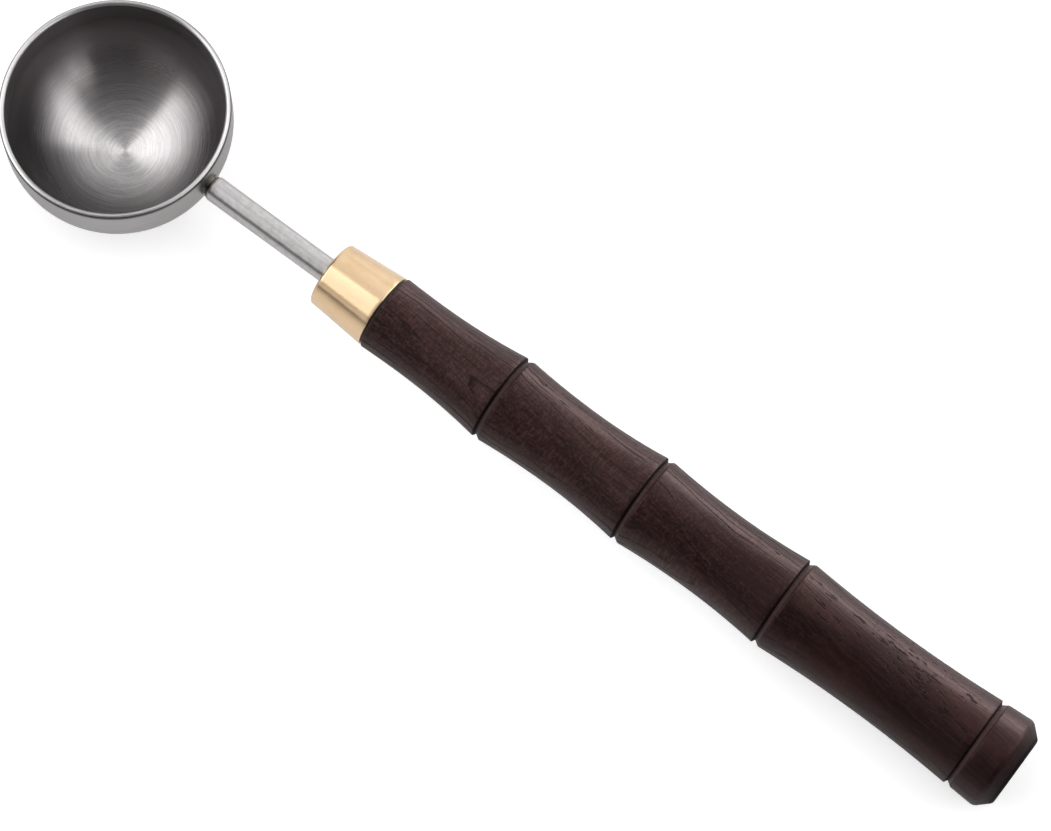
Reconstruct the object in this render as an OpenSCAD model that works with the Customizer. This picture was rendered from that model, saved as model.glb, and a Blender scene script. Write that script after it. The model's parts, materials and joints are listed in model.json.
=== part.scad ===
// Coffee measuring spoon: a deep round steel bowl, a round rod welded to its wall, a tapered brass
// ferrule and a turned wooden handle with four hollow-sided segments.
// It lies as it rests on a table, with the rim level. +X runs from the bowl to the butt, +Z is up,
// and the origin is on the table under the middle of the spoon's length.

/* [Bowl] */
// Outside diameter of the bowl
bowl_d = 40.5; // [36:0.5:48]
// Thickness of the steel sheet
bowl_wall = 1; // [0.6:0.1:1.6]
// Inside depth from the lip to the middle of the floor
bowl_depth = 21.5; // [20:0.5:24]
// Height of the straight wall under the lip
bowl_straight = 6.1; // [4:0.1:8]
// Inside radius where the wall turns into the floor
knuckle_r = 12; // [10:0.5:14]

/* [Stem] */
// Diameter of the rod
stem_d = 4.6; // [3.5:0.1:6]
// Depth of the rod's axis below the lip, where it meets the bowl
stem_drop = 5.7; // [4:0.1:8]
// Distance from the bowl's wall to the ferrule
stem_free = 26.3; // [15:0.1:40]
// Chamfer on both ends of the rod
stem_chamfer = 0.5; // [0.2:0.1:1]
// Length of the rod inside the wood
tang_len = 45; // [25:1:60]
// Space past the rod's end at the bottom of its hole
bore_relief = 1; // [0.5:0.1:3]
// Number of shallow rings cut into the tang to hold the adhesive
key_count = 3; // [1:1:5]
// Depth of those rings
key_depth = 0.3; // [0.1:0.1:0.6]
// Width of those rings
key_width = 1.5; // [0.5:0.1:3]

/* [Weld] */
// Diameter of the weld between the rod's end and the bowl
weld_d = 3.6; // [2:0.1:4.4]
// Gap between the rod's end and the bowl's wall, which the weld bridges
weld_gap = 0.6; // [0.4:0.1:1.2]

/* [Ferrule] */
// Length of the ferrule
ferrule_len = 11.6; // [11:0.1:20]
// Diameter of its taper at the front face
ferrule_front_d = 12.1; // [11.6:0.1:13]
// Diameter of its taper at the back face
ferrule_back_d = 13.9; // [13:0.1:14.2]
// Radius of its front edge
ferrule_edge_r = 1.5; // [0.5:0.1:2.5]
// Clearance between the rod and the ferrule's front hole
ferrule_fit = 0.05; // [0.02:0.01:0.1]

/* [Joint] */
// Diameter of the wooden tenon inside the ferrule
tenon_d = 9.8; // [8:0.1:10.2]
// Length of that tenon
tenon_len = 8.5; // [5:0.1:9.5]
// Thickness of the adhesive film round the tang and the tenon
glue_film = 0.2; // [0.1:0.05:0.4]
// Width of the joint line between the ferrule and the wood
joint_line = 0.4; // [0.2:0.1:0.8]
// Depth from the ferrule's edge to the adhesive in the joint line
joint_recess = 0.4; // [0.2:0.1:0.8]

/* [Handle] */
// Length of the wood that shows, from the ferrule to the end of the butt
handle_len = 133.6; // [125:0.1:150]
// Diameter of the wood next to the ferrule
front_d = 14.2; // [13:0.1:16]
// Chamfer on the wood's front edge
front_chamfer = 0.2; // [0.1:0.05:0.6]
// Length of the first segment
length_1 = 24.8; // [18:0.1:30]
// Length of the second segment
length_2 = 29.8; // [20:0.1:34]
// Length of the third segment, and the fourth takes the rest
length_3 = 29.9; // [20:0.1:34]
// Diameter of the first segment's waist
waist_1 = 13.9; // [12.5:0.1:15]
// Diameter of the second segment's waist
waist_2 = 15; // [13:0.1:16]
// Diameter of the third segment's waist
waist_3 = 15.5; // [13:0.1:16.5]
// Diameter of the fourth segment's waist
waist_4 = 15.6; // [13:0.1:16.5]
// Diameter of the wood at the first groove
ring_1 = 16.4; // [15:0.1:18]
// Diameter of the wood at the second groove
ring_2 = 16.9; // [15:0.1:18]
// Diameter of the wood at the third groove
ring_3 = 17.1; // [15:0.1:18]
// Diameter of the wood at the fourth groove
ring_4 = 17.1; // [15:0.1:17.6]
// Place of the first waist, as a share of its segment
waist_share_first = 0.31; // [0.2:0.01:0.6]
// Place of the other waists, as a share of their segments
waist_share = 0.5; // [0.35:0.01:0.65]
// Depth of the V-grooves
groove_depth = 0.7; // [0.3:0.1:1]
// Width of the V-grooves
groove_width = 1.4; // [1:0.1:2.5]
// Width of a groove's steep side, next to the bowl
groove_steep = 0.35; // [0.2:0.05:0.7]

/* [Butt] */
// Length of the butt, from the last groove to the end
butt_len = 8.8; // [6:0.1:14]
// Largest diameter of the butt
butt_d = 17.7; // [17.2:0.1:19]
// Length of the chamfer at the end
butt_chamfer = 2.5; // [1:0.1:3.5]
// Diameter of the flat end face
butt_face_d = 13; // [10:0.1:15]

/* [Hidden] */
$fn = 144;

// Steps along each curved stretch of an outline
curve_steps = 10;
// Extra length that carries a cut through a face
overcut = 1;

// Bowl: the floor is a round crown that runs smoothly into the knuckle
bowl_r = bowl_d / 2;
cup_r = bowl_r - bowl_wall;
bowl_h = bowl_depth + bowl_wall;
knuckle_x = cup_r - knuckle_r;
knuckle_z = bowl_h - bowl_straight;
dish_depth = bowl_depth - bowl_straight;
crown_r = (knuckle_x ^ 2 + dish_depth ^ 2 - knuckle_r ^ 2) / (2 * (dish_depth - knuckle_r));
crown_z = bowl_wall + crown_r;
crown_turn = atan2(knuckle_x, crown_z - knuckle_z);

// Places along the handle's axis, measured from the bowl's outer wall
stem_r = stem_d / 2;
ferrule_back = stem_free + ferrule_len;
wood_front = ferrule_back + joint_line;
tenon_front = wood_front - tenon_len;
ferrule_floor = tenon_front - glue_film;
tang_end = tenon_front + tang_len;
bore_end = tang_end + bore_relief;
wood_end = wood_front + handle_len;
shoulder = wood_end - butt_chamfer;

// Radii at the joint between the rod, the ferrule and the wood
bore_r = stem_r + glue_film;
tenon_r = tenon_d / 2;
socket_r = tenon_r + glue_film;
glue_rim_r = ferrule_back_d / 2 - joint_recess;
ferrule_taper = atan2((ferrule_back_d - ferrule_front_d) / 2, ferrule_len);

// The handle dips until its butt and the bowl both touch the table
butt_r = butt_d / 2;
axis_h = bowl_h - stem_drop;
dip = asin(axis_h / norm([shoulder, butt_r])) - atan2(butt_r, shoulder);
mid_x = (wood_end * cos(dip) + butt_face_d / 2 * sin(dip)) / 2;

// Segments of the handle, from the ferrule to the butt
length_4 = handle_len - length_1 - length_2 - length_3 - butt_len;
lengths = [length_1, length_2, length_3, length_4];
waists = [waist_1, waist_2, waist_3, waist_4];
rings = [ring_1, ring_2, ring_3, ring_4];
last = len(lengths) - 1;
function sum_to(list, count) = count == 0 ? 0 : list[count - 1] + sum_to(list, count - 1);
function segment_end(i) = wood_front + sum_to(lengths, i + 1);
function segment_start(i) = i == 0 ? wood_front + front_chamfer : segment_end(i - 1) + groove_width;
function start_r(i) = i == 0 ? front_d / 2 : rings[i - 1] / 2;
function waist_at(i) = i == 0 ? waist_share_first : waist_share;

// Outline of one hollow-sided segment: two parabolas that meet level at the waist
function segment_outline(i) =
    let (low = waists[i] / 2)
    let (from = segment_start(i))
    let (to = segment_end(i))
    let (middle = from + waist_at(i) * (to - from))
    [for (k = [-curve_steps:curve_steps])
        let (share = k / curve_steps)
        let (edge_r = k < 0 ? start_r(i) : rings[i] / 2)
        let (reach = k < 0 ? middle - from : to - middle)
        [low + (edge_r - low) * share ^ 2, middle + share * reach]];

// Bottom of the V-groove after a segment
function groove_bottom(i) = [[rings[i] / 2 - groove_depth, segment_end(i) + groove_steep]];

// Points of an arc about a centre, from one angle to another
function arc(centre, r, from, to) =
    [for (k = [0:curve_steps])
        let (turn = from + (to - from) * k / curve_steps)
        centre + r * [cos(turn), sin(turn)]];

// Puts a piece drawn about the Z axis onto the handle's axis
module on_axis() {
    translate([bowl_r - mid_x, 0, axis_h])
        rotate([0, 90 + dip, 0])
            children();
}

// Half section of the space inside the bowl, moved outwards by grow
module cup_section(grow) {
    intersection() {
        translate([0, bowl_wall - grow])
            square([cup_r + grow, bowl_depth + grow]);
        union() {
            translate([0, knuckle_z])
                square([cup_r + grow, bowl_straight]);
            translate([knuckle_x, knuckle_z])
                circle(r = knuckle_r + grow);
            intersection() {
                translate([0, crown_z])
                    circle(r = crown_r + grow);
                square([(crown_r + grow) * sin(crown_turn), knuckle_z]);
            }
        }
    }
}

// The bowl's outer shape as a full solid, up to the lip
module bowl_body() {
    translate([-mid_x, 0, 0])
        rotate_extrude()
            cup_section(bowl_wall);
}

// Half section of the sheet, with its lip rounded
module bowl_section() {
    intersection() {
        difference() {
            cup_section(bowl_wall);
            cup_section(0);
        }
        square([bowl_r, bowl_h - bowl_wall / 2]);
    }
    translate([bowl_r - bowl_wall / 2, bowl_h - bowl_wall / 2])
        circle(d = bowl_wall);
}

module bowl() {
    color("silver")
        translate([-mid_x, 0, 0])
            rotate_extrude()
                bowl_section();
}

module weld_nugget() {
    color("dimgray")
        difference() {
            on_axis()
                translate([0, 0, -overcut])
                    cylinder(d = weld_d, h = weld_gap + overcut);
            bowl_body();
        }
}

// The rod about the Z axis, with its chamfered ends and the rings on its tang
module rod() {
    difference() {
        rotate_extrude()
            polygon([
                [0, weld_gap],
                [stem_r - stem_chamfer, weld_gap],
                [stem_r, weld_gap + stem_chamfer],
                [stem_r, tang_end - stem_chamfer],
                [stem_r - stem_chamfer, tang_end],
                [0, tang_end]
            ]);
        for (i = [1:key_count])
            translate([0, 0, tenon_front + i * tang_len / (key_count + 1)])
                rotate_extrude()
                    translate([stem_r - key_depth, -key_width / 2])
                        square([key_depth + overcut, key_width]);
    }
}

module stem() {
    color("lightgray")
        on_axis()
            rod();
}

module ferrule() {
    edge_centre = [
        ferrule_front_d / 2 + ferrule_edge_r * (tan(ferrule_taper) - 1 / cos(ferrule_taper)),
        stem_free + ferrule_edge_r
    ];
    color("tan")
        on_axis()
            rotate_extrude()
                polygon(concat(
                    [[stem_r + ferrule_fit, stem_free]],
                    arc(edge_centre, ferrule_edge_r, -90, -ferrule_taper),
                    [
                        [ferrule_back_d / 2, ferrule_back],
                        [socket_r, ferrule_back],
                        [socket_r, ferrule_floor],
                        [stem_r + ferrule_fit, ferrule_floor]
                    ]
                ));
}

module ferrule_adhesive() {
    color("black")
        on_axis()
            rotate_extrude()
                polygon([
                    [stem_r, ferrule_floor],
                    [socket_r, ferrule_floor],
                    [socket_r, ferrule_back],
                    [glue_rim_r, ferrule_back],
                    [glue_rim_r, wood_front],
                    [tenon_r, wood_front],
                    [tenon_r, tenon_front],
                    [stem_r, tenon_front]
                ]);
}

module tang_adhesive() {
    color("black")
        on_axis()
            difference() {
                translate([0, 0, tenon_front])
                    cylinder(r = bore_r, h = bore_end - tenon_front);
                rod();
            }
}

module handle() {
    outline = concat(
        [[0, tenon_front], [tenon_r, tenon_front], [tenon_r, wood_front]],
        [[front_d / 2 - front_chamfer, wood_front]],
        [for (i = [0:last]) each concat(segment_outline(i), groove_bottom(i))],
        [[rings[last] / 2, segment_end(last) + groove_width]],
        [[butt_r, shoulder], [butt_face_d / 2, wood_end], [0, wood_end]]
    );
    color("saddlebrown")
        on_axis()
            difference() {
                rotate_extrude()
                    polygon(outline);
                translate([0, 0, tenon_front - overcut])
                    cylinder(r = bore_r, h = bore_end - tenon_front + overcut);
            }
}

bowl();
weld_nugget();
stem();
ferrule();
ferrule_adhesive();
tang_adhesive();
handle();
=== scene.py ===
# %% [markdown]
# A coffee measuring spoon, dressed for its picture.
# The solids of the spoon come in as a fixed frame. They are right in size and place, but plain.
# Each cell below makes one visible piece or one finish, at the place that the solids give.
# Everything is in metres, with +X from the bowl to the butt and +Z up.

# %% Load the solids and keep their box
import json
import math
import bmesh
import bpy
from mathutils import Matrix, Vector


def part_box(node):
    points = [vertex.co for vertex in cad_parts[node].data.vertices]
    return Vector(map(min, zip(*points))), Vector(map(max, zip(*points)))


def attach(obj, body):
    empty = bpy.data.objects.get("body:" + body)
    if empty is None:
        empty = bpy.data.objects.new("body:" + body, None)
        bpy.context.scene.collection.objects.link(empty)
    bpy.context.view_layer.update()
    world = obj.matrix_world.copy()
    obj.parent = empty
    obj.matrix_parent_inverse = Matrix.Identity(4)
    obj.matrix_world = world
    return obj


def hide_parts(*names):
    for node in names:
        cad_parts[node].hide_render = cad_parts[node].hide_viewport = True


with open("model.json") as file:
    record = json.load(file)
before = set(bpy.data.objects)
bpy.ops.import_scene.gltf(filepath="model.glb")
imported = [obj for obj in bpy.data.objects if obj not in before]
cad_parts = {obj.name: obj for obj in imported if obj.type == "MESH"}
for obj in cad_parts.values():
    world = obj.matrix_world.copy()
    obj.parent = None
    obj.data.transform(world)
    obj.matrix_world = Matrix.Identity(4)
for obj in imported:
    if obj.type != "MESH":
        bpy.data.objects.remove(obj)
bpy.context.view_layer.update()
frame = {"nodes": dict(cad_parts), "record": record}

print("solids:", sorted(frame["nodes"]))

# %% [markdown]
# Two axes carry the whole spoon. The bowl was spun about an upright axis, and the rod, the ferrule and the
# handle were turned about one line that dips a little towards the table.
# The bowl's axis is read from its box. The handle's axis is read from the flat end of the butt, which the
# record states with its place and its direction, so nothing has to be measured by eye.

# %% Find the two axes
mm = 0.001
bowl_low, bowl_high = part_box("bowl")
bowl_r = (bowl_high.x - bowl_low.x) / 2
bowl_top = bowl_high.z - bowl_low.z
bowl_foot = Vector(((bowl_low.x + bowl_high.x) / 2, 0, bowl_low.z))
bowl_place = Matrix.Translation(bowl_foot)

end_face = next(mount for mount in frame["record"]["mounts"] if mount["name"] == "butt_face")
axis_line = Vector(end_face["axis"]).normalized()
wood_end = 171.9 * mm
axis_start = Vector(end_face["pos_m"]) - axis_line * wood_end
dip = math.atan2(-axis_line.z, axis_line.x)
handle_turn = math.radians(90) + dip
handle_place = Matrix.Translation(axis_start) @ Matrix.Rotation(handle_turn, 4, "Y")
print(f"bowl radius {bowl_r / mm:.2f} mm, handle dips {math.degrees(dip):.2f} degrees")

# %% [markdown]
# Every piece of this spoon is round, so every piece can be drawn as half of its outline and then turned, as
# on a lathe. The outline is drawn with a pen and a compass: line_to pulls a new point out of the last one,
# and swing sweeps a point round a centre, which leaves an arc behind it. Corners are rounded on the
# drawing, because a bevel on one point is exact there, and the turning carries it all the way round.

# %% Pen and compass for half outlines
def pen_at(sketch, radius, height):
    return sketch.verts.new((radius, 0, height))


def line_to(sketch, point, radius, height, pieces=1):
    start = point.co.copy()
    end = Vector((radius, 0, height))
    for count in range(1, pieces + 1):
        point = bmesh.ops.extrude_vert_indiv(sketch, verts=[point])["verts"][0]
        point.co = start.lerp(end, count / pieces)
    return point


def swing(sketch, point, centre_radius, centre_height, turn, steps):
    swept = bmesh.ops.spin(
        sketch, geom=[point], cent=(centre_radius, 0, centre_height), axis=(0, -1, 0), angle=turn, steps=steps
    )
    return next(v for v in swept["geom_last"] if isinstance(v, bmesh.types.BMVert))


def round_off(sketch, corners, radius, steps):
    bmesh.ops.bevel(
        sketch, geom=corners, offset=radius, segments=steps, profile=0.5, affect="VERTICES", material=-1
    )


# %% [markdown]
# Turning is one full spin about the Z axis. A full spin ends where it began, so its first and last rows are
# merged, and the points on the axis itself fall together and are merged too. The faces are then made to
# point outwards. Last, the piece is moved to its place on the spoon, inside its mesh, so the object stays
# at the origin.

# %% Lathe and finishing of a piece
same_point = 0.0005 * mm


def turn_on_lathe(sketch, steps):
    bmesh.ops.spin(
        sketch, geom=sketch.verts[:] + sketch.edges[:], cent=(0, 0, 0), axis=(0, 0, 1),
        angle=2 * math.pi, steps=steps, use_merge=True,
    )
    bmesh.ops.remove_doubles(sketch, verts=sketch.verts[:], dist=same_point)
    bmesh.ops.recalc_face_normals(sketch, faces=sketch.faces[:])


def set_down(name, sketch, place, finishes, node):
    bmesh.ops.transform(sketch, matrix=place, verts=sketch.verts[:])
    mesh = bpy.data.meshes.new(name)
    sketch.to_mesh(mesh)
    sketch.free()
    mesh.shade_smooth()
    for finish in finishes:
        mesh.materials.append(finish)
    piece = bpy.data.objects.new(name, mesh)
    bpy.context.scene.collection.objects.link(piece)
    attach(piece, "root")
    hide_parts(node)
    print(f"{name}: {len(mesh.vertices)} points, {len(mesh.polygons)} faces")
    return piece


# %% [markdown]
# A finish is a small network of nodes. Two helpers keep it short to write: fill puts values into a node's
# sockets, where a value that is itself a socket is linked and any other value is set, and add makes a new
# node and fills it in the same line. A blank finish has one shader for the surface and nothing else yet.

# %% Nodes and their sockets
def fill(tree, node, sockets):
    for name, value in sockets.items():
        if isinstance(value, bpy.types.NodeSocket):
            tree.links.new(value, node.inputs[name])
        else:
            node.inputs[name].default_value = value


def add(tree, kind, sockets=None, **options):
    node = tree.nodes.new("ShaderNode" + kind)
    for name, value in options.items():
        setattr(node, name, value)
    fill(tree, node, sockets or {})
    return node


def blank_finish(name):
    finish = bpy.data.materials.new(name)
    finish.use_nodes = True
    tree = finish.node_tree
    tree.nodes.clear()
    surface = add(tree, "BsdfPrincipled")
    add(tree, "OutputMaterial", {"Surface": surface.outputs["BSDF"]})
    return finish, tree, surface


# %% [markdown]
# A pattern has to sit on the axis that its piece was turned about. Every piece stays at the origin, so
# Object coordinates are the spoon's own metres, and one Mapping node moves and turns them until that axis
# is Z. From then on a place in the pattern is a distance from the axis and a distance along it.

# %% Places on a piece
def centred(tree, piece_place):
    turned_back = piece_place.inverted()
    sockets = {
        "Vector": add(tree, "TexCoord").outputs["Object"],
        "Location": turned_back.to_translation(),
        "Rotation": turned_back.to_euler(),
    }
    return add(tree, "Mapping", sockets).outputs["Vector"]


def shift(tree, operation, *places):
    return add(tree, "VectorMath", dict(enumerate(places)), operation=operation).outputs["Vector"]


def measure(tree, operation, *places):
    return add(tree, "VectorMath", dict(enumerate(places)), operation=operation).outputs["Value"]


def on_axis(tree, place):
    return add(tree, "SeparateXYZ", {"Vector": place}).outputs["Z"]


# %% [markdown]
# Masks are numbers from 0 to 1 that say how much of something there is at a place. Here rise goes from 0 to
# 1 between two readings, speckle is noise of one size, between turns such a share into any other range, and
# ramp turns it into colours.

# %% Numbers, masks and colours
def reckon(tree, operation, *values):
    return add(tree, "Math", dict(enumerate(values)), operation=operation).outputs["Value"]


def rise(tree, value, start, end, **options):
    sockets = {"Value": value, "From Min": start, "From Max": end}
    return add(tree, "MapRange", sockets, **options).outputs["Result"]


def speckle(tree, place, per_metre, detail, roughness=0.5):
    sockets = {"Vector": place, "Scale": per_metre, "Detail": detail, "Roughness": roughness}
    return add(tree, "TexNoise", sockets).outputs["Fac"]


def between(tree, share, low, high):
    return add(tree, "MapRange", {"Value": share, "To Min": low, "To Max": high}).outputs["Result"]


def mix_value(tree, share, under, over):
    return add(tree, "Mix", {0: share, 2: under, 3: over}).outputs[0]


def mix_colour(tree, share, under, over):
    return add(tree, "Mix", {0: share, 6: under, 7: over}, data_type="RGBA").outputs[2]


def grey(value):
    return (value, value, value)


def ramp(tree, value, stops):
    node = add(tree, "ValToRGB", {"Fac": value})
    band = node.color_ramp
    while len(band.elements) < len(stops):
        band.elements.new(0.5)
    for element, (position, colour) in zip(band.elements, stops):
        element.position = position
        element.color = (*colour, 1)
    return node.outputs["Color"]


# %% [markdown]
# Brushing, turning and polishing all leave marks that run round the axis, on the steel, on the brass and on
# the wood. One node group draws them for every finish. It takes a place that is centred on the axis, keeps
# only the direction from the axis, and counts lanes by radius plus height. Noise over direction and lane
# gives long arcs that close on themselves, so no seam shows where an angle would start again.

# %% Node group for the marks left by turning
marks = bpy.data.node_groups.new("turning_marks", "ShaderNodeTree")
marks.interface.new_socket("Place", in_out="INPUT", socket_type="NodeSocketVector")
marks.interface.new_socket("Lanes per metre", in_out="INPUT", socket_type="NodeSocketFloat")
marks.interface.new_socket("Arcs", in_out="INPUT", socket_type="NodeSocketFloat")
marks.interface.new_socket("Marks", in_out="OUTPUT", socket_type="NodeSocketFloat")
given = marks.nodes.new("NodeGroupInput")
handed_on = marks.nodes.new("NodeGroupOutput")
flat = shift(marks, "MULTIPLY", given.outputs["Place"], (1, 1, 0))
heading = shift(marks, "NORMALIZE", flat)
around = shift(marks, "MULTIPLY", heading, given.outputs["Arcs"])
climb = reckon(marks, "ADD", measure(marks, "LENGTH", flat), on_axis(marks, given.outputs["Place"]))
lane = reckon(marks, "MULTIPLY", climb, given.outputs["Lanes per metre"])
stack = add(marks, "CombineXYZ", {"Z": lane}).outputs["Vector"]
track = shift(marks, "ADD", around, stack)
fill(marks, handed_on, {"Marks": speckle(marks, track, per_metre=1, detail=3, roughness=0.6)})
print("node group:", marks.name, "with", len(marks.nodes), "nodes")


def turning_marks(tree, place, lanes_per_mm, arcs):
    sockets = {"Place": place, "Lanes per metre": lanes_per_mm / mm, "Arcs": arcs}
    return add(tree, "Group", sockets, node_tree=marks).outputs["Marks"]


# %% [markdown]
# Marks catch the light in two ways. Those that can be seen one by one are a bump. The thousands that are
# too fine to see still scatter light across themselves and hardly along themselves, so a lamp is drawn out
# into a stripe or a fan. The shader's anisotropic setting does that, turned a quarter so that the stripe
# runs across the marks.

# %% Relief and drawn-out highlights
def bump(tree, height, depth, strength, under=None):
    sockets = {"Height": height, "Distance": depth, "Strength": strength}
    if under:
        sockets["Normal"] = under
    return add(tree, "Bump", sockets).outputs["Normal"]


def draw_out(tree, metal, strength, axis):
    quarter_turn = 0.25
    tangent = add(tree, "Tangent", direction_type="RADIAL", axis=axis).outputs["Tangent"]
    fill(tree, metal, {"Anisotropic": strength, "Anisotropic Rotation": quarter_turn, "Tangent": tangent})


# %% [markdown]
# Inside, the bowl shows the rings of the pad that brushed it while it spun, with short scratches of grit
# among them. The pad pressed hard on the floor and hardly reached up the wall, so the wall is smoother. The
# wall is also painted darker, as painted shade. That could be two finishes with a hard edge, but the change
# is gradual. So the height above the table blends the two, and the rings get their full depth only on the
# floor.

# %% Steel brushed in rings, for the inside of the bowl
wall_begins = 9 * mm
floor_ends = 1.2 * mm
grit_share = 0.3
painted_shade_wall_grey = (0.29, 0.272, 0.276, 1)
ring_greys = [
    (0.28, (0.485, 0.467, 0.47)),
    (0.4, (0.615, 0.593, 0.597)),
    (0.54, (0.755, 0.731, 0.735)),
]

ringed_steel, tree, steel = blank_finish("ringed_steel")
place = centred(tree, bowl_place)
fine = turning_marks(tree, place, lanes_per_mm=9, arcs=2.5)
broad = turning_marks(tree, place, lanes_per_mm=2, arcs=0.8)
grit = turning_marks(tree, place, lanes_per_mm=5, arcs=16)
rings = reckon(tree, "MULTIPLY_ADD", grit, grit_share, reckon(tree, "MULTIPLY", fine, broad))
on_floor = rise(tree, on_axis(tree, place), wall_begins, floor_ends, interpolation_type="SMOOTHSTEP")
# Painted shade: up the wall the colour goes over to a dark grey.
tint = mix_colour(tree, on_floor, painted_shade_wall_grey, ramp(tree, rings, ring_greys))
rough = mix_value(tree, on_floor, between(tree, broad, 0.2, 0.3), between(tree, broad, 0.28, 0.44))
pressed = reckon(tree, "POWER", on_floor, 4.0)
relief = bump(tree, reckon(tree, "MULTIPLY", rings, pressed), depth=0.03 * mm, strength=0.5)
fill(tree, steel, {"Metallic": 1, "Base Color": tint, "Roughness": rough, "Normal": relief})
draw_out(tree, steel, strength=0.85, axis="Z")
print("ringed steel:", len(tree.nodes), "nodes")

# %% [markdown]
# Outside, the bowl is satin: the same rings, but much finer and more even. Right under the lip a thin dark
# line is painted into the colour: a painted reflection of the dark room low down, on the lip's rounding.

# %% Satin steel for the outside of the bowl
dark_line_top = bowl_top - 0.6 * mm
dark_line_foot = bowl_top - 1.0 * mm
painted_reflection_grey = (0.1, 0.098, 0.1, 1)

satin_steel, tree, steel = blank_finish("satin_steel")
place = centred(tree, bowl_place)
fine = turning_marks(tree, place, lanes_per_mm=9, arcs=3)
satin_tint = ramp(tree, fine, [(0.3, (0.38, 0.364, 0.367)), (0.7, (0.47, 0.452, 0.454))])
painted_reflection_band = rise(tree, on_axis(tree, place), dark_line_foot, dark_line_top)
# Painted reflection: a thin dark band of colour just under the lip.
tint = mix_colour(tree, painted_reflection_band, satin_tint, painted_reflection_grey)
rough = between(tree, fine, 0.28, 0.4)
relief = bump(tree, fine, depth=0.01 * mm, strength=0.3)
fill(tree, steel, {"Metallic": 1, "Base Color": tint, "Roughness": rough, "Normal": relief})
print("satin steel:", len(tree.nodes), "nodes")

# %% [markdown]
# The lip was buffed last, so it is the palest steel on the spoon. The buffing ran round it, so its light is
# drawn across the rounded edge and the lip shows as one bright line.

# %% Buffed steel for the lip
buffed_steel, tree, steel = blank_finish("buffed_steel")
place = centred(tree, bowl_place)
fine = turning_marks(tree, place, lanes_per_mm=9, arcs=3)
tint = ramp(tree, fine, [(0.3, (0.62, 0.61, 0.61)), (0.7, (0.74, 0.73, 0.725))])
rough = between(tree, fine, 0.32, 0.46)
relief = bump(tree, fine, depth=0.006 * mm, strength=0.2)
fill(tree, steel, {"Metallic": 1, "Base Color": tint, "Roughness": rough, "Normal": relief})
draw_out(tree, steel, strength=0.8, axis="Z")
print("buffed steel:", len(tree.nodes), "nodes")

# %% [markdown]
# The bowl is one drawn cup of steel sheet with a round crown for a floor, a tighter bend, a short straight
# wall and a lip rounded over the whole thickness of the sheet. It could be a sphere cut in half, but the
# straight wall and the bend give the real cup its outline. So the pen follows the section: up the inside,
# over the lip and down the outside, always with arcs about the same two centres.

# %% Bowl outline
sheet = 1 * mm
straight_wall = 6.1 * mm
bend_r = 12 * mm
inner_r = bowl_r - sheet
bend_at = inner_r - bend_r
bend_height = bowl_top - straight_wall
dish = bowl_top - sheet - straight_wall
crown_r = (bend_at ** 2 + dish ** 2 - bend_r ** 2) / (2 * (dish - bend_r))
crown_height = sheet + crown_r
crown_turn = math.atan2(bend_at, crown_height - bend_height)
bend_turn = math.radians(90) - crown_turn
lip_r = sheet / 2

bowl = bmesh.new()
tip = pen_at(bowl, 0, sheet)
tip = swing(bowl, tip, 0, crown_height, crown_turn, steps=44)
tip = swing(bowl, tip, bend_at, bend_height, bend_turn, steps=24)
tip = line_to(bowl, tip, inner_r, bowl_top - lip_r, pieces=10)
tip = swing(bowl, tip, bowl_r - lip_r, bowl_top - lip_r, -math.pi, steps=14)
tip = line_to(bowl, tip, bowl_r, bend_height, pieces=10)
tip = swing(bowl, tip, bend_at, bend_height, -bend_turn, steps=24)
swing(bowl, tip, 0, crown_height, -crown_turn, steps=44)
print(f"bowl crown radius {crown_r / mm:.2f} mm, outline of {len(bowl.verts)} points")

# %% [markdown]
# After the turning, every face gets one of the three steels. A face that points away from the middle of the
# crown is outside, any other is inside, and the highest ones are the lip. The wheel reached all of the
# rounding on the inside, but only the top of it on the outside.

# %% Bowl
buffed_inside = lip_r
buffed_outside = 0.1 * mm
inside, outside, lip = 0, 1, 2

turn_on_lathe(bowl, steps=192)
for face in bowl.faces:
    middle = face.calc_center_median()
    outwards = Vector((middle.x, middle.y, middle.z - crown_height))
    on_outside = face.normal.dot(outwards) > 0
    buffed_depth = buffed_outside if on_outside else buffed_inside
    if middle.z > bowl_top - buffed_depth:
        face.material_index = lip
    else:
        face.material_index = outside if on_outside else inside
bowl_piece = set_down(
    "bowl_cup", bowl, bowl_place, [ringed_steel, satin_steel, buffed_steel], "bowl"
)

# %% [markdown]
# The rod is plain round steel, rubbed to a satin with a belt. Its marks run round it, so a lamp becomes a
# stripe along it, and fingers and the belt's own patches have left it a little uneven.

# %% Belted steel for the rod
belted_steel, tree, steel = blank_finish("belted_steel")
place = centred(tree, handle_place)
fine = turning_marks(tree, place, lanes_per_mm=9, arcs=4)
smudge = speckle(tree, place, per_metre=900, detail=3, roughness=0.6)
tint = ramp(tree, smudge, [(0.3, (0.49, 0.475, 0.475)), (0.7, (0.6, 0.585, 0.585))])
rough = between(tree, mix_value(tree, 0.5, fine, smudge), 0.24, 0.4)
relief = bump(tree, fine, depth=0.006 * mm, strength=0.2)
fill(tree, steel, {"Metallic": 1, "Base Color": tint, "Roughness": rough, "Normal": relief})
draw_out(tree, steel, strength=0.7, axis="X")
print("belted steel:", len(tree.nodes), "nodes")

# %% [markdown]
# The rod's end at the bowl was rounded before it was welded. Its other end is a tang with shallow rings for
# the adhesive, deep inside the wood. It is turned here with the rest, because it costs only a few points.

# %% Rod
rod_r = 2.3 * mm
rod_start = 0.6 * mm
rod_free = 26.3 * mm
rod_end_round = 0.7 * mm
tang_start = 29.8 * mm
tang_end = 74.8 * mm
tang_chamfer = 0.5 * mm
tang_rings = 3
ring_depth = 0.3 * mm
ring_width = 1.5 * mm

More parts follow.
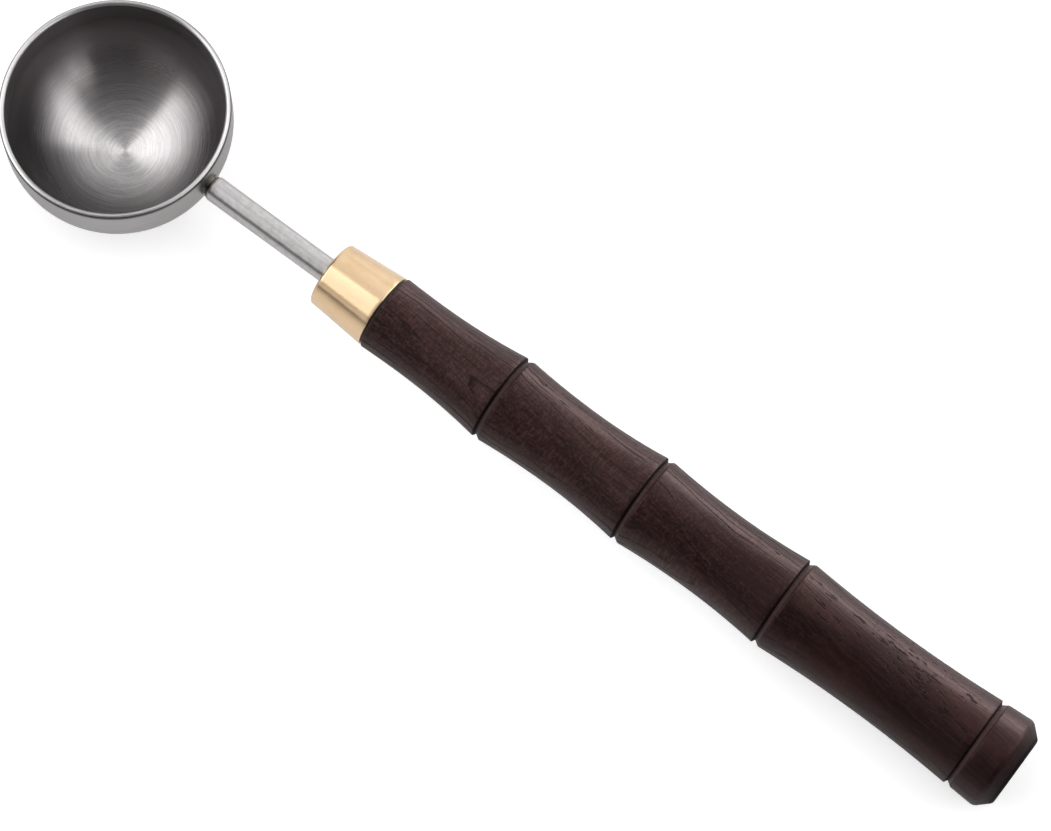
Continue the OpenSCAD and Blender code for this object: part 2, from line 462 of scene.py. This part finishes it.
rod = bmesh.new()
tip = pen_at(rod, 0, rod_start)
rim = line_to(rod, tip, rod_r, rod_start)
tip = line_to(rod, rim, rod_r, rod_free, pieces=30)
for count in range(1, tang_rings + 1):
    ring_at = tang_start + count * (tang_end - tang_start) / (tang_rings + 1)
    tip = line_to(rod, tip, rod_r, ring_at - ring_width / 2)
    tip = line_to(rod, tip, rod_r - ring_depth, ring_at - ring_width / 2)
    tip = line_to(rod, tip, rod_r - ring_depth, ring_at + ring_width / 2)
    tip = line_to(rod, tip, rod_r, ring_at + ring_width / 2)
tang_rim = line_to(rod, tip, rod_r, tang_end)
line_to(rod, tang_rim, 0, tang_end)
round_off(rod, [rim], rod_end_round, steps=6)
round_off(rod, [tang_rim], tang_chamfer, steps=1)
turn_on_lathe(rod, steps=96)
set_down("rod", rod, handle_place, [belted_steel], "stem")

# %% [markdown]
# Weld metal is painted much darker and browner than the steel beside it: painted shade for the gap between
# the rod's round end and the bowl. It has low ripples from the melting and a grain, so its bump has two
# layers: the grain sits on top of the ripples.

# %% Weld metal
weld_metal, tree, steel = blank_finish("weld_metal")
place = centred(tree, handle_place)
ripples = turning_marks(tree, place, lanes_per_mm=3, arcs=2)
grains = speckle(tree, place, per_metre=1800, detail=4)
# Painted shade: a nearly black brown for the gap between the rod and the bowl.
tint = ramp(tree, grains, [(0.3, (0.07, 0.062, 0.05)), (0.7, (0.24, 0.225, 0.2))])
rough = between(tree, grains, 0.3, 0.55)
rippled = bump(tree, ripples, depth=0.06 * mm, strength=0.5)
relief = bump(tree, grains, depth=0.02 * mm, strength=0.4, under=rippled)
fill(tree, steel, {"Metallic": 1, "Base Color": tint, "Roughness": rough, "Normal": relief})
print("weld metal:", len(tree.nodes), "nodes")

# %% [markdown]
# The weld is a short neck of melted metal that bridges the gap between the rod's round end and the bowl's
# wall. A plain cylinder would do from afar, but molten metal creeps up both faces, so the neck flares at
# both ends. Its foot sits a little inside the wall, so the curved wall cuts it cleanly.

# %% Weld
weld_foot = -0.3 * mm
weld_r = 1.8 * mm
flare_r = 0.3 * mm

weld = bmesh.new()
tip = pen_at(weld, 0, weld_foot)
tip = line_to(weld, tip, weld_r + flare_r, weld_foot)
tip = line_to(weld, tip, weld_r + flare_r, 0)
tip = swing(weld, tip, weld_r + flare_r, flare_r, -math.pi, steps=10)
line_to(weld, tip, 0, rod_start)
turn_on_lathe(weld, steps=64)
set_down("weld_bead", weld, handle_place, [weld_metal], "weld_nugget")

# %% [markdown]
# The ferrule is turned brass, polished on the lathe and lacquered. The polish is finer than the steel's, so
# the lamps stay long stripes along it, but it still has a few deeper scratches and the first dulling of
# age. The lacquer is a thin clear coat, which makes the brightest stripe whiter than the brass itself.

# %% Polished brass
turned_brass, tree, brass = blank_finish("turned_brass")
place = centred(tree, handle_place)
fine = turning_marks(tree, place, lanes_per_mm=10, arcs=3)
dulled = speckle(tree, place, per_metre=260, detail=4, roughness=0.6)
tint = ramp(tree, dulled, [(0.3, (0.79, 0.56, 0.325)), (0.7, (0.87, 0.63, 0.395))])
rough = between(tree, mix_value(tree, 0.5, fine, dulled), 0.22, 0.36)
deep_marks = turning_marks(tree, place, lanes_per_mm=3.5, arcs=1.2)
scratches = ramp(tree, deep_marks, [(0.62, grey(1.0)), (0.68, grey(0.0))])
turned = bump(tree, fine, depth=0.01 * mm, strength=0.3)
relief = bump(tree, scratches, depth=0.01 * mm, strength=0.35, under=turned)
fill(tree, brass, {"Metallic": 1, "Base Color": tint, "Roughness": rough, "Normal": relief})
fill(tree, brass, {"Coat Weight": 0.6, "Coat Roughness": 0.2})
draw_out(tree, brass, strength=0.75, axis="X")
print("turned brass:", len(tree.nodes), "nodes")

# %% [markdown]
# The cap tapers towards the rod. Its front edge is a real radius, and its back edge is only broken. The
# hole for the rod and the socket for the wood are drawn too, so that the piece is one closed skin.

# %% Ferrule
ferrule_back = 37.9 * mm
ferrule_front_r = 6.05 * mm
ferrule_back_r = 6.95 * mm
front_edge_round = 1.5 * mm
back_edge_round = 0.18 * mm
hole_r = 2.35 * mm
socket_r = 5.1 * mm
socket_floor = 29.6 * mm

ferrule = bmesh.new()
first = pen_at(ferrule, hole_r, rod_free)
front_edge = line_to(ferrule, first, ferrule_front_r, rod_free)
back_edge = line_to(ferrule, front_edge, ferrule_back_r, ferrule_back, pieces=16)
tip = line_to(ferrule, back_edge, socket_r, ferrule_back)
tip = line_to(ferrule, tip, socket_r, socket_floor)
tip = line_to(ferrule, tip, hole_r, socket_floor)
ferrule.edges.new((tip, first))
round_off(ferrule, [front_edge], front_edge_round, steps=10)
round_off(ferrule, [back_edge], back_edge_round, steps=3)
turn_on_lathe(ferrule, steps=160)
ferrule_piece = set_down("ferrule_cap", ferrule, handle_place, [turned_brass], "ferrule")

# %% [markdown]
# Hardened adhesive fills the joint between brass and wood and the hole round the tang. Only a thin dark
# ring of it shows. Both solids have the right shape already, so they stay as they are and get a finish.

# %% Adhesive
adhesive, tree, glue = blank_finish("hard_adhesive")
place = centred(tree, handle_place)
specks = speckle(tree, place, per_metre=2500, detail=3)
tint = ramp(tree, specks, [(0.35, (0.006, 0.005, 0.004)), (0.7, (0.025, 0.02, 0.016))])
rough = between(tree, specks, 0.45, 0.7)
relief = bump(tree, specks, depth=0.03 * mm, strength=0.4)
fill(tree, glue, {"Base Color": tint, "Roughness": rough, "Normal": relief})
for node_name in ("ferrule_adhesive", "tang_adhesive"):
    for holder in frame["nodes"][node_name].material_slots:
        holder.material = adhesive
print("adhesive on two solids")

# %% [markdown]
# The handle is one length of a dark tropical wood. Its look comes from several layers, each with its own
# size. Most of them are noise that is stretched along the length: the Mapping node in front of the noise
# counts more grains per millimetre across the wood than along it, so that every grain comes out long and
# thin. The same noise can also push a place aside, so that straight grain drifts as in a real tree.

# %% Noise that follows the grain
def grain_texture(tree, place, across, along, detail=2.0, roughness=0.5):
    grains_per_metre = (across / mm, across / mm, along / mm)
    stretched = add(tree, "Mapping", {"Vector": place, "Scale": grains_per_metre}).outputs["Vector"]
    sockets = {"Vector": stretched, "Scale": 1, "Detail": detail, "Roughness": roughness}
    return add(tree, "TexNoise", sockets)


def grain_noise(tree, place, **grain_sizes):
    return grain_texture(tree, place, **grain_sizes).outputs["Fac"]


def drift(tree, place, reach, **grain_sizes):
    push = grain_texture(tree, place, **grain_sizes).outputs["Color"]
    return shift(tree, "ADD", place, shift(tree, "MULTIPLY", push, (reach, reach, reach)))


# %% [markdown]
# The fibres run at a small slant to the handle and wander a little. Some are long threads, and some are cut
# short where the turning meets them at an angle. Towards the butt the wood is calmer: the fibres differ
# less there, and fewer of them are short.

# %% Fibres
calm_begins = 110 * mm
calm_reached = 135 * mm
slant = (math.radians(-7), 0, 0)
even_fibre = 0.49

dark_wood, tree, wood = blank_finish("dark_wood")
place = centred(tree, handle_place)
from_bowl = on_axis(tree, place)
near_butt = rise(tree, from_bowl, calm_begins, calm_reached)
slanted = add(tree, "Mapping", {"Vector": place, "Rotation": slant}).outputs["Vector"]
grain = drift(tree, slanted, reach=2 * mm, across=0.13, along=0.06, detail=3)
long_fibres = grain_noise(tree, grain, across=2.2, along=0.12, detail=5, roughness=0.68)
short_fibres = grain_noise(tree, grain, across=1.9, along=2.3, detail=4, roughness=0.65)
short_share = between(tree, near_butt, 0.55, 0.22)
all_fibres = mix_value(tree, short_share, long_fibres, short_fibres)
fibres = mix_value(tree, between(tree, near_butt, 0.0, 0.5), all_fibres, even_fibre)
print("fibres:", len(tree.nodes), "nodes so far")

# %% [markdown]
# The heart of the tree lay outside this piece, above the side that faces up here. The hollow sides cut
# through the year rings at changing depths, and that draws the long pointed flames on the wood.
# So the rings are true cylinders round the heart, bent a little by a slow noise: the distance from the
# heart is counted in years, and the end of each year is a thin dark line. Some years are strong and some
# hardly show, and near the butt all of them are fainter.

# %% Year rings
heart = Vector((-17, 2.3, 0)) * mm
year = 1.5 * mm
end_of_year = [(0.0, grey(0.0)), (0.66, grey(0.0)), (0.9, grey(1.0)), (0.98, grey(0.0))]

grown = drift(tree, grain, reach=7 * mm, across=0.11, along=0.018, detail=4, roughness=0.55)
in_section = shift(tree, "MULTIPLY", shift(tree, "SUBTRACT", grown, heart), (1, 1, 0))
years = reckon(tree, "DIVIDE", measure(tree, "LENGTH", in_section), year)
season = reckon(tree, "FRACT", years)
line = ramp(tree, season, end_of_year)
good_years = grain_noise(tree, grain, across=0.7, along=0.05)
fading = ramp(tree, good_years, [(0.35, grey(0.05)), (0.54, grey(1.0))])
drawn = reckon(tree, "MULTIPLY", line, fading)
year_lines = reckon(tree, "MULTIPLY", drawn, between(tree, near_butt, 1.0, 0.4))
print(f"year rings {year / mm:.1f} mm apart, heart {heart.length / mm:.1f} mm from the axis")

# %% [markdown]
# Pores are the wood's own pipes, cut open by the turning. They show as short dark dashes, a hair wide and a
# millimetre or two long, crowded in some places and scarce in others. In the last segment they are most
# open on the side that grew nearest the bark, and they stop before the butt.
# They are real hollows as well, so one mask goes both into the colour and into the bump.

# %% Pores
wood_r = 8 * mm
bark_side = Vector((-0.98, 0.2, 0)) / wood_r
pores_end = 164 * mm
pores_thin_out = 158 * mm
crowd_strength = 0.15

dashes = grain_noise(tree, grain, across=1.4, along=0.4, detail=3, roughness=0.6)
crowding = grain_noise(tree, grain, across=0.24, along=0.03)
scarce = between(tree, crowding, 0.3, -0.1)
outer = rise(tree, measure(tree, "DOT_PRODUCT", place, bark_side), 0.7, 0.97)
before_butt = between(tree, rise(tree, from_bowl, pores_end, pores_thin_out), -0.4, 1.0)
last_part = reckon(tree, "MULTIPLY", near_butt, before_butt)
crowd = reckon(tree, "MULTIPLY", outer, last_part)
opened_up = reckon(tree, "MULTIPLY_ADD", crowd, crowd_strength, dashes)
pore_height = reckon(tree, "SUBTRACT", opened_up, scarce)
pores = ramp(tree, pore_height, [(0.58, grey(0.0)), (0.64, grey(0.95))])
print("pores:", len(tree.nodes), "nodes so far")

# %% [markdown]
# The ground colour is a brown that follows the fibres. It comes in two depths: a paler one next to the
# ferrule and on the upper side near the butt, and a deep one elsewhere. Near the butt the paler brown is a
# painted highlight on the side that faces up and to the back. Two ramps over the same fibres, mixed by a
# mask, keep each thread of the grain whole where the depth changes.

# %% Ground colour of the wood
deep_browns = [
    (0.4, (0.0024, 0.0009, 0.0008)),
    (0.5, (0.0074, 0.0026, 0.0023)),
    (0.6, (0.026, 0.0108, 0.0092)),
]
pale_browns = [
    (0.4, (0.006, 0.0026, 0.0024)),
    (0.5, (0.0175, 0.0085, 0.0077)),
    (0.6, (0.048, 0.0265, 0.0242)),
]
pale_from = 40 * mm
deep_from = 125 * mm
highlight_side = Vector((-0.57, 0.82, 0)) / wood_r

near_ferrule = rise(tree, from_bowl, deep_from, pale_from)
# Painted highlight: near the butt the wood is paler on the side that faces up and to the back.
painted_highlight_share = rise(tree, measure(tree, "DOT_PRODUCT", place, highlight_side), 0.75, 1.0)
pale_end = reckon(tree, "MULTIPLY", painted_highlight_share, near_butt)
pale_part = reckon(tree, "MAXIMUM", near_ferrule, pale_end)
brown = mix_colour(tree, pale_part, ramp(tree, fibres, deep_browns), ramp(tree, fibres, pale_browns))
print("ground colour:", len(tree.nodes), "nodes so far")

# %% [markdown]
# The other colours go on in the order in which the wood got them: year lines, red patches, the rays that
# stand across the grain as rows of light flecks, and pores. Then come the grooves and the butt. The gentle
# sides of the grooves are painted paler, as a painted highlight. The steep sides of the grooves are end grain
# that drinks the oil, and they and the upper edges of the gentle sides are also painted nearly black as
# shade in the grooves. Towards the end of the butt the black is end grain only. The outline knows where
# these are, so the handle carries them as two attributes: one for the painted highlight, and one for the
# black of end grain and painted shade.

# %% Lines, flecks, end grain and painted groove light
year_line_brown = (0.0034, 0.0013, 0.0012, 1)
patch_red = (0.036, 0.0135, 0.0105, 1)
ray_tan = (0.05, 0.03, 0.028, 1)
pore_black = (0.0022, 0.0012, 0.0012, 1)
painted_highlight_brown = (0.075, 0.046, 0.043, 1)
end_grain_and_shade_black = (0.0016, 0.001, 0.001, 1)

lined = mix_colour(tree, year_lines, brown, year_line_brown)
patches = grain_noise(tree, grain, across=0.16, along=0.03, detail=3)
warmed = mix_colour(tree, ramp(tree, patches, [(0.45, grey(0.0)), (0.75, grey(0.4))]), lined, patch_red)
rays = grain_noise(tree, slanted, across=0.55, along=2.6, detail=2)
ticks = ramp(tree, rays, [(0.52, grey(0.0)), (0.62, grey(1.0))])
rows = ramp(tree, patches, [(0.46, grey(0.05)), (0.6, grey(0.6))])
in_rows = reckon(tree, "MULTIPLY", ticks, rows)
flecks = reckon(tree, "MULTIPLY", in_rows, between(tree, near_butt, 1.0, 0.12))
flecked = mix_colour(tree, flecks, warmed, ray_tan)
pored = mix_colour(tree, pores, flecked, pore_black)
# Painted highlight: the gentle sides of the grooves are mixed towards a pale brown.
groove_highlight = add(tree, "Attribute", attribute_name="groove_highlight").outputs["Fac"]
paled = mix_colour(tree, groove_highlight, pored, painted_highlight_brown)
# End grain and painted shade in the grooves: nearly black on the steep sides, half on the gentle sides' upper
# edge.
end_grain_and_groove_shade = add(tree, "Attribute", attribute_name="end_grain_and_groove_shade").outputs["Fac"]
fill(tree, wood, {"Base Color": mix_colour(tree, end_grain_and_groove_shade, paled, end_grain_and_shade_black)})
print("wood colours:", len(tree.nodes), "nodes so far")

# %% [markdown]
# The oil finish is satin. Light that has gone through the outer fibres comes back red-brown, so the gloss
# takes a little of the wood's colour. The unevenness of hand sanding, the tool rings and the fibres break
# the gloss up, and the pores and year lines are sunk and dull.

# %% Gloss and relief of the wood
gloss_red = (1, 0.62, 0.62, 1)
dulling = 0.34

tool = turning_marks(tree, place, lanes_per_mm=2.6, arcs=5)
hand = grain_noise(tree, place, across=0.5, along=0.12, detail=3)
uneven = rise(tree, reckon(tree, "ADD", fibres, tool), 0.6, 1.4)
satin = between(tree, uneven, 0.32, 0.5)
opened = reckon(tree, "MAXIMUM", pores, year_lines)
coarse = reckon(tree, "MAXIMUM", opened, end_grain_and_groove_shade)
rough = reckon(tree, "MULTIPLY_ADD", coarse, dulling, satin)
sanded = bump(tree, hand, depth=0.14 * mm, strength=0.5)
tooled = bump(tree, tool, depth=0.012 * mm, strength=0.35, under=sanded)
fibrous = bump(tree, fibres, depth=0.03 * mm, strength=0.4, under=tooled)
sunk = reckon(tree, "SUBTRACT", 1.0, opened)
relief = bump(tree, sunk, depth=0.06 * mm, strength=0.6, under=fibrous)
fill(tree, wood, {"Roughness": rough, "Normal": relief})
fill(tree, wood, {"Specular IOR Level": 0.3, "Specular Tint": gloss_red})
print("dark wood:", len(tree.nodes), "nodes")

# %% [markdown]
# Where the wood is cut square across its fibres, the open ends of the pipes swallow light as well as oil. A
# second finish stands for that, nearly black and with little gloss, speckled by the pipes. On the steep
# sides of the grooves that black is painted shade as well. The level of the gloss is one value for the
# whole finish, so it sits on the shader's own socket.

# %% Black end grain and painted groove shade
black_end_grain_and_shade, tree, ends = blank_finish("black_end_grain_and_shade")
place = centred(tree, handle_place)
pipes = speckle(tree, place, per_metre=2600, detail=3)
tint = ramp(tree, pipes, [(0.35, (0.0012, 0.0007, 0.0007)), (0.7, (0.006, 0.0032, 0.003))])
rough = between(tree, pipes, 0.55, 0.8)
relief = bump(tree, pipes, depth=0.02 * mm, strength=0.4)
fill(tree, ends, {"Base Color": tint, "Roughness": rough, "Normal": relief, "Specular IOR Level": 0.12})
print("end grain:", len(tree.nodes), "nodes")

# %% [markdown]
# The handle looks like a stalk with joints: four segments with hollow sides, each ended by a V-groove that
# is steep on the bowl's side and slopes gently on the other. A hollow side is drawn with the compass from
# far outside the wood: the arc touches the waist and ends at the groove's edge, so its radius follows from
# the two.

# %% Handle sizes and its hollow side
wood_front = 38.3 * mm
front_r = 7.1 * mm
segment_ends = [63.1 * mm, 92.9 * mm, 122.8 * mm, 163.1 * mm]
ring_rs = [8.2 * mm, 8.45 * mm, 8.55 * mm, 8.55 * mm]
waist_rs = [6.95 * mm, 7.5 * mm, 7.75 * mm, 7.8 * mm]
waist_shares = [0.31, 0.5, 0.5, 0.5]
groove_depth = 0.7 * mm
groove_width = 1.4 * mm
groove_steep = 0.35 * mm
groove_edge_round = 0.14 * mm
tenon_r = 4.9 * mm
tang_hole_r = 2.5 * mm
tang_hole_end = 75.8 * mm
butt_r = 8.85 * mm
butt_shoulder = wood_end - 2.5 * mm
shoulder_round = 0.6 * mm
butt_face_r = 6.5 * mm
end_edge_round = 0.4 * mm


def hollow_side(sketch, tip, edge_at, edge_r, waist_at, waist_r):
    reach = abs(waist_at - edge_at)
    rise_to_edge = edge_r - waist_r
    radius = (reach ** 2 + rise_to_edge ** 2) / (2 * rise_to_edge)
    return swing(sketch, tip, waist_r + radius, waist_at, -math.asin(reach / radius), steps=14)


print(f"handle {(wood_end - wood_front) / mm:.1f} mm long, {len(segment_ends)} segments")

# %% [markdown]
# The pen starts in the hole for the tang, goes round the tenon, and then draws segment after segment up to
# the butt. With the hole and the tenon in it, the piece is one closed skin. The edges are kept in a list on
# the way, because a corner that was cut and sanded by hand is never quite sharp, and all are rounded last.

# %% Handle outline
handle = bmesh.new()
tip = pen_at(handle, 0, tang_hole_end)
tip = line_to(handle, tip, tang_hole_r, tang_hole_end)
tip = line_to(handle, tip, tang_hole_r, tang_start)
tip = line_to(handle, tip, tenon_r, tang_start)
tip = line_to(handle, tip, tenon_r, wood_front)
tip = line_to(handle, tip, front_r, wood_front)
edges = [tip]
start_at, start_r = wood_front, front_r
for end_at, ring_r, waist_r, share in zip(segment_ends, ring_rs, waist_rs, waist_shares):
    waist_at = start_at + share * (end_at - start_at)
    tip = hollow_side(handle, tip, start_at, start_r, waist_at, waist_r)
    tip = hollow_side(handle, tip, end_at, ring_r, waist_at, waist_r)
    edges.append(tip)
    tip = line_to(handle, tip, ring_r - groove_depth, end_at + groove_steep, pieces=4)
    tip = line_to(handle, tip, ring_r, end_at + groove_width, pieces=6)
    edges.append(tip)
    start_at, start_r = end_at + groove_width, ring_r
shoulder = line_to(handle, tip, butt_r, butt_shoulder, pieces=3)
end_edge = line_to(handle, shoulder, butt_face_r, wood_end, pieces=4)
line_to(handle, end_edge, 0, wood_end, pieces=4)
round_off(handle, edges, groove_edge_round, steps=3)
round_off(handle, [shoulder], shoulder_round, steps=6)
round_off(handle, [end_edge], end_edge_round, steps=4)
print("handle outline:", len(handle.verts), "points")

# %% [markdown]
# The painted groove light and the end grain are written onto the turned points. Each place in a groove has
# two numbers: how much black shows there, as end grain and painted shade, and how much painted highlight
# makes it pale. The steep side is almost all black, the upper edge of the gentle side half, and the rest of
# the gentle side gets the painted highlight. On the butt the end grain's black grows from the shoulder to
# the end. The faces that are cut quite square get the black finish itself.

# %% Handle
# Each look gives the black of end grain and painted shade, then the painted highlight.
steep_look = (0.97, 0.0)
slope_edge_look = (0.5, 0.0)
# The gentle side below its upper edge gets the painted highlight.
slope_look = (0.0, 0.45)
steep_reach = groove_steep * 1.05
slope_edge_share = 0.25
groove_rim_share = 0.07
shoulder_black = 0.2
end_black = 0.95
black_below_edge = 0.15 * mm
black_before_end = 0.55 * mm
turned_side, end_grain_and_shade_side = 0, 1


def groove_look(past_edge, sunk_share):
    if past_edge <= steep_reach:
        return steep_look
    if sunk_share < slope_edge_share:
        return slope_edge_look
    return slope_look


turn_on_lathe(handle, steps=128)
end_grain_and_shade_layer = handle.verts.layers.float.new("end_grain_and_groove_shade")
groove_highlight_layer = handle.verts.layers.float.new("groove_highlight")
for point in handle.verts:
    at = point.co.z
    for end_at, ring_r in zip(segment_ends, ring_rs):
        sunk_share = (ring_r - point.co.xy.length) / groove_depth
        if end_at <= at <= end_at + groove_width and sunk_share > groove_rim_share:
            point[end_grain_and_shade_layer], point[groove_highlight_layer] = groove_look(at - end_at, sunk_share)
    if at > butt_shoulder:
        share = (at - butt_shoulder) / (wood_end - butt_shoulder)
        point[end_grain_and_shade_layer] = shoulder_black + (end_black - shoulder_black) * share
for face in handle.faces:
    at = face.calc_center_median().z
    in_groove = any(end_at + black_below_edge < at < end_at + groove_steep for end_at in segment_ends)
    face.material_index = end_grain_and_shade_side if in_groove or at > wood_end - black_before_end else turned_side
handle_piece = set_down(
    "wood_handle", handle, handle_place, [dark_wood, black_end_grain_and_shade], "handle"
)

# %% [markdown]
# The spoon lies on a plain white board that fills the picture. The board is not part of the object. A
# catalogue picture is exposed until the board burns out to white and only the closest shadows stay. The
# camera's own rays see that glow on the board, and the steel mirrors hardly any of it.

# %% White board
board_half = 4
board_white = (0.7, 0.7, 0.7, 1)

board = bmesh.new()
bmesh.ops.create_grid(board, x_segments=1, y_segments=1, size=board_half)
board_mesh = bpy.data.meshes.new("white_board")
board.to_mesh(board_mesh)
board.free()
white_board = bpy.data.objects.new("white_board", board_mesh)
bpy.context.scene.collection.objects.link(white_board)

white, tree, paper = blank_finish("white_paper")
seen_by_camera = add(tree, "LightPath").outputs["Is Camera Ray"]
glow = between(tree, seen_by_camera, 0.06, 0.53)
fill(tree, paper, {"Base Color": board_white, "Roughness": 0.8})
fill(tree, paper, {"Emission Color": (1, 1, 1, 1), "Emission Strength": glow})
board_mesh.materials.append(white)
print("white board:", 2 * board_half, "m wide")

# %% [markdown]
# Steel, brass and oiled wood are mostly what they mirror, so the lamps are half of the likeness. Each lamp
# is a soft rectangle on an arm over the spoon. Lean tips the arm to the right and to the back, twist turns
# it about the upright, and the lamp always faces the spoon. Its power follows from its size and from the
# radiance that it shows in a mirror, so a lamp can be made larger and look no brighter. So each lamp is
# written as its lean in degrees, its size in metres and its radiance. The camera does not see the lamps.

# %% One soft lamp
def soft_lamp(name, lean, size, radiance, twist=0, distance=1.0, over=bowl_foot, lights=None):
    lean_right, lean_back = lean
    width, length = size
    arm = (
        Matrix.Rotation(math.radians(twist), 4, "Z")
        @ Matrix.Rotation(math.radians(-lean_back), 4, "X")
        @ Matrix.Rotation(math.radians(lean_right), 4, "Y")
    )
    lamp = bpy.data.lights.new(name, "AREA")
    lamp.shape = "RECTANGLE"
    lamp.size = width
    lamp.size_y = length
    lamp.energy = math.pi * width * length * radiance
    holder = bpy.data.objects.new(name, lamp)
    holder.matrix_world = Matrix.Translation(over) @ arm @ Matrix.Translation((0, 0, distance))
    holder.visible_camera = False
    bpy.context.scene.collection.objects.link(holder)
    if lights:
        holder.light_linking.receiver_collection = lights
    print(f"{name}: {lamp.energy:.3f} W")
    return holder


# %% [markdown]
# A photographer holds flags and small cards between a lamp and one part of the object. Light linking does
# the same without any card in the picture: a lamp reads a collection, and lights only the pieces in it or,
# where they are marked EXCLUDE, everything but them.

# %% Which pieces a lamp lights
def light_group(name, piece, state="INCLUDE"):
    group = bpy.data.collections.new(name)
    group.objects.link(piece)
    group.collection_objects[0].light_linking.link_state = state
    print(f"{name}: {state} {piece.name}")
    return group


only_bowl = light_group("only_bowl", bowl_piece)
not_bowl = light_group("not_bowl", bowl_piece, "EXCLUDE")
only_wood = light_group("only_wood", handle_piece)
only_brass = light_group("only_brass", ferrule_piece)
only_board = light_group("only_board", white_board)

# %% [markdown]
# The bowl is a deep mirror. Every spot of it shows another part of the room, and the fans of light and dark
# in it tell where the lamps stood. So the bowl has four lamps of its own, placed back from these fans: a
# large one on the left, a long narrow one at the back right, a dim one at the back and a small low one on
# the right. The gap between the left and the right one is the dark wedge.

# %% Lamps of the bowl
soft_lamp("bowl_left", (-33.7, -23.6), (1.21, 2.23), 2.2, twist=-7.8, distance=2.0, lights=only_bowl)
soft_lamp("bowl_right", (36.9, 43.2), (1.6, 0.33), 2.5, twist=-26.8, lights=only_bowl)
soft_lamp("bowl_far", (-11.5, 24.6), (2.0, 0.73), 0.81, twist=8.8, lights=only_bowl)
soft_lamp("bowl_low", (59.5, -26), (0.24, 0.3), 2.2, twist=-2, lights=only_bowl)

# %% [markdown]
# The rod, the ferrule, the handle and the board are lit by a large lamp on the left and a smaller one on
# the right, with a narrow one at the back and a dim card low in front. The gap between left and right is
# the dark line along the rod and the brass. The left lamp has a dimmer tail towards the front, which also
# reaches the bowl's outside.

# %% Lamps of the rod, the ferrule, the handle and the board
soft_lamp("left_lamp", (-31.5, -24), (1.36, 2.0), 2.75, twist=-5, distance=2.0, lights=not_bowl)
soft_lamp("right_lamp", (40, 31.5), (1.1, 0.9), 1.75, twist=15, lights=not_bowl)
soft_lamp("far_lamp", (-16, 35), (0.42, 1.2), 1.05, lights=not_bowl)
soft_lamp("front_card", (0, -84), (1.6, 0.25), 0.45, lights=not_bowl)
soft_lamp("left_tail", (-31.5, -58.5), (1.2, 0.65), 1.1, twist=-5, distance=2.0)

# %% [markdown]
# White cards do the rest. Two stand low behind the spoon and edge its back with light. One close to the
# handle gives the wood its pale upper edge, a thin one softens the dark line on the brass, and one hangs
# low over the board and clears the shadow beside the first three segments. A wide fill lifts all shadows a
# little, and nothing mirrors it.

# %% Cards and fill
over_handle = Vector((50, 0, 9)) * mm
beside_handle = Vector((12, -18, 0)) * mm

soft_lamp("back_card", (22, 80), (1.0, 0.5), 2.4)
soft_lamp("handle_card", (0, 82), (0.26, 0.18), 7.0, distance=0.4, over=over_handle, lights=only_wood)
soft_lamp("brass_card", (-10, -64), (0.8, 0.12), 0.7, lights=only_brass)
soft_lamp("board_fill", (0, 0), (0.09, 0.02), 1.2, distance=0.045, over=beside_handle, lights=only_board)
soft_lamp("far_card", (-35, 82), (0.9, 0.5), 0.85)
overhead = soft_lamp("overhead_fill", (0, 0), (1.6, 1.6), 0.4)
overhead.visible_glossy = False

# %% [markdown]
# The room itself is dim, so that the steel has something dark to mirror. Only the camera sees it pale,
# about as pale as the far end of the board, so that a low view shows no hard horizon behind the spoon.
# The Standard view keeps the white of the board white.

# %% Room
room = bpy.data.worlds.new("dim_room")
room.use_nodes = True
sky = room.node_tree
backdrop = sky.nodes["Background"]
room_seen = add(sky, "LightPath").outputs["Is Camera Ray"]
fill(sky, backdrop, {"Color": (1, 1, 1, 1), "Strength": between(sky, room_seen, 0.1, 0.63)})
bpy.context.scene.world = room
bpy.context.scene.view_settings.view_transform = "Standard"
print("room:", room.name)

# %% [markdown]
# The camera looks down steeply, a little from the front and from the side of the butt. Its place and lens
# were solved from the ellipse of the lip, the rings of the handle and the outlines, so the picture falls on
# the photograph. A long lens from far away keeps the handle's sides nearly parallel, as they are there.

# %% Camera
aim = Vector((4.355, -2.166, 22.5)) * mm
towards_camera = Vector((0.1713304, -0.2277484, 0.9585283))
camera_distance = 778.13 * mm
roll = math.radians(-0.336)

camera_data = bpy.data.cameras.new("camera")
camera_data.sensor_fit = "HORIZONTAL"
camera_data.sensor_width = 36
camera_data.lens = 156.89
camera = bpy.data.objects.new("camera", camera_data)
camera_at = Matrix.Translation(aim + towards_camera * camera_distance)
facing = towards_camera.to_track_quat("Z", "Y").to_matrix().to_4x4()
camera.matrix_world = camera_at @ facing @ Matrix.Rotation(roll, 4, "Z")
bpy.context.scene.collection.objects.link(camera)
bpy.context.scene.camera = camera
print(f"camera {camera_distance:.3f} m from the spoon, lens {camera_data.lens:.1f} mm")
